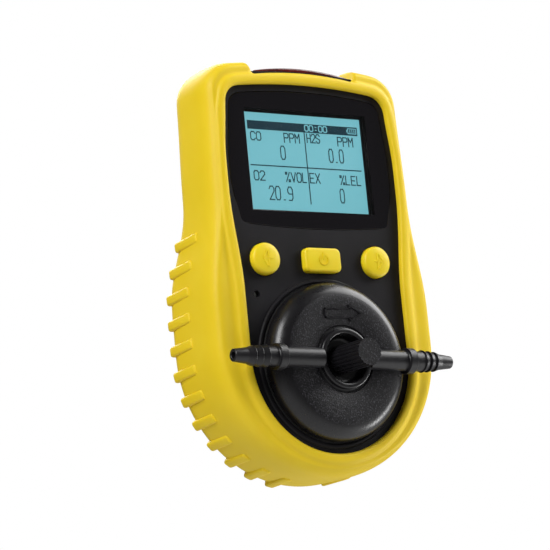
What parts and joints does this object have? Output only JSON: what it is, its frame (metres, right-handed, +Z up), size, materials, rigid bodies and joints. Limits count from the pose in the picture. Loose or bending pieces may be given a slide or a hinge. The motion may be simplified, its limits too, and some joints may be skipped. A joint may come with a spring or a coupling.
{
  "type": "portable gas detector",
  "caption": "Hand-held multi-gas detector with a rubber boot, display, keys, a screw-on calibration cap with hose barbs and a rear belt clip.",
  "frame": {"origin": "centre of the belt clip's seat on the back of the rear case", "axes": "+X to the right seen from the front, -Y out of the front panel, +Z up along the detector's length"},
  "size_m": [0.0848, 0.0521, 0.132],
  "materials": {
    "boot_rubber": "satin silicone",
    "front_plastic": "fine spark texture",
    "case_plastic": "fine spark texture",
    "black_rubber": "matt",
    "screw_steel": "zinc plated",
    "brass": "turned",
    "window_gloss": "gloss",
    "tape": "matt",
    "lcd_glass": "matt polariser",
    "white_plastic": "moulded",
    "flex_film": "polyimide film",
    "key_rubber": "satin silicone",
    "red_lens": "clear red",
    "led_epoxy": "clear",
    "circuit_board": "solder mask",
    "chip_epoxy": "moulded",
    "sensor_plastic": "moulded",
    "sensor_steel": "satin",
    "filter_membrane": "porous film",
    "cap_plastic": "spark textured face, polished rim",
    "battery_wrap": "shrink wrap",
    "wire_sleeve": "vinyl",
    "clip_steel": "brushed stainless",
    "spring_steel": "drawn wire"
  },
  "bodies": {
    "housing": {"rubber_boot": "boot_rubber", "front_case": "front_plastic", "rear_case": "case_plastic", "case_seal": "black_rubber", "case_screws": "screw_steel", "case_inserts": "brass", "display_window": "window_gloss", "window_tape": "tape", "lcd_glass": "lcd_glass", "lcd_backlight": "white_plastic", "lcd_holder": "white_plastic", "lcd_flex": "flex_film", "keypad_mat": "key_rubber", "key_switches": "screw_steel", "alarm_lens": "red_lens", "alarm_leds": "led_epoxy", "main_board": "circuit_board", "board_chips": "chip_epoxy", "board_screws": "screw_steel", "board_flex": "flex_film", "sensor_board": "circuit_board", "sensor_sockets": "brass", "co_sensor": "sensor_plastic", "h2s_sensor": "sensor_plastic", "oxygen_sensor": "sensor_plastic", "combustible_sensor": "sensor_steel", "sensor_gasket": "black_rubber", "sensor_cover": "case_plastic", "dust_filters": "filter_membrane", "cover_screws": "screw_steel", "cap_insert": "brass", "battery_pack": "battery_wrap", "battery_foam": "tape", "battery_lead": "wire_sleeve", "buzzer": "case_plastic", "buzzer_membrane": "filter_membrane", "vibration_motor": "sensor_steel", "charge_socket": "sensor_steel", "clip_plate": "clip_steel", "clip_pin": "clip_steel", "clip_spring": "spring_steel", "clip_screws": "screw_steel"},
    "left_key": {"left_key": "key_rubber"},
    "power_key": {"power_key": "key_rubber"},
    "right_key": {"right_key": "key_rubber"},
    "cap": {"calibration_cap": "cap_plastic", "cap_gasket": "black_rubber"},
    "thumb_screw": {"thumb_screw": "cap_plastic", "thumb_stud": "screw_steel", "thumb_screw_clip": "screw_steel"},
    "clip_jaw": {"clip_jaw": "clip_steel"},
    "port_plug": {"port_plug": "boot_rubber"},
    "motor_rotor": {"motor_shaft": "screw_steel", "motor_weight": "sensor_steel"}
  },
  "joints": [
    {"name": "left_key_press", "type": "slide", "parent": "housing", "child": "left_key", "axis": [0, 1, 0], "range_m": [0, 0.0008], "stiffness_N_per_m": 900, "springref_m": -0.0008},
    {"name": "power_key_press", "type": "slide", "parent": "housing", "child": "power_key", "axis": [0, 1, 0], "range_m": [0, 0.0008], "stiffness_N_per_m": 900, "springref_m": -0.0008},
    {"name": "right_key_press", "type": "slide", "parent": "housing", "child": "right_key", "axis": [0, 1, 0], "range_m": [0, 0.0008], "stiffness_N_per_m": 900, "springref_m": -0.0008},
    {"name": "cap_lift", "type": "slide", "parent": "housing", "child": "cap", "axis": [0, -1, 0], "range_m": [0, 0.03]},
    {"name": "thumb_screw_turn", "type": "hinge", "parent": "cap", "child": "thumb_screw", "pos_m": [0, -0.03, -0.058], "axis": [0, 1, 0], "continuous": true},
    {"name": "clip_open", "type": "hinge", "parent": "housing", "child": "clip_jaw", "pos_m": [0, 0.0042, 0.01], "axis": [1, 0, 0], "range_deg": [0, 22], "stiffness_Nm_per_rad": 0.06, "springref_deg": -28.65},
    {"name": "plug_pull", "type": "slide", "parent": "housing", "child": "port_plug", "axis": [1, 0, 0], "range_m": [0, 0.012]},
    {"name": "motor_spin", "type": "hinge", "parent": "housing", "child": "motor_rotor", "pos_m": [-0.0268, -0.008, -0.058], "axis": [0, 0, 1], "continuous": true}
  ]
}
